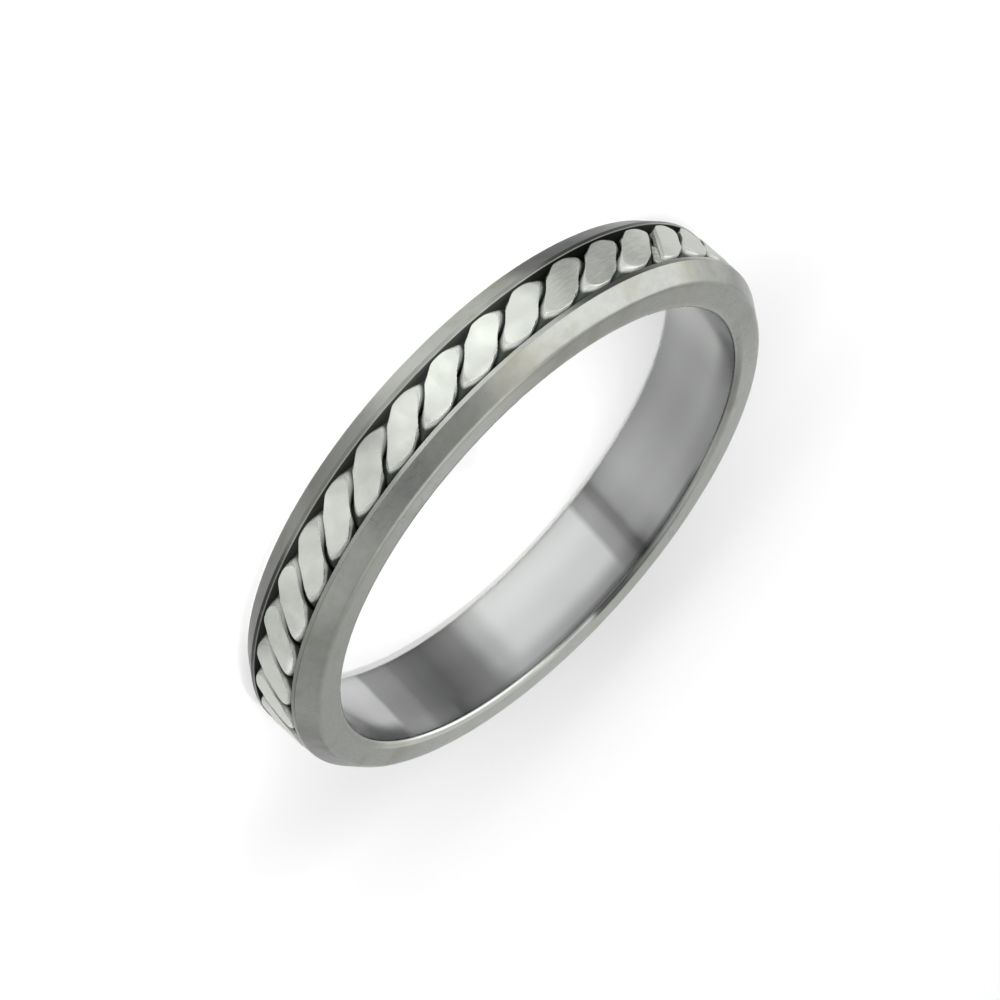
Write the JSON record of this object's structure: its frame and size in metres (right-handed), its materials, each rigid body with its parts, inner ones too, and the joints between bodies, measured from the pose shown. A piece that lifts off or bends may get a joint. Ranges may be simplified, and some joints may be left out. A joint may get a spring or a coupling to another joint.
{
  "type": "rope twist ring",
  "caption": "Narrow finger ring with raised rails and a flattened twisted silver rope set in a blackened channel between them.",
  "frame": {"origin": "centre of the bore at the plane that the ring lies on", "axes": "+Z along the bore axis, up from the surface that the ring lies on; the rope's soldered seam is at -152.2 degrees round from +X"},
  "size_m": [0.0216, 0.0216, 0.0034],
  "materials": {
    "band_metal": "satin grey steel with a polished bore and a blackened channel",
    "rope_silver": "brushed silver flats with polished round rims"
  },
  "bodies": {
    "root": {"band": "band_metal", "rope_strand_1": "rope_silver", "rope_strand_2": "rope_silver"}
  },
  "joints": []
}
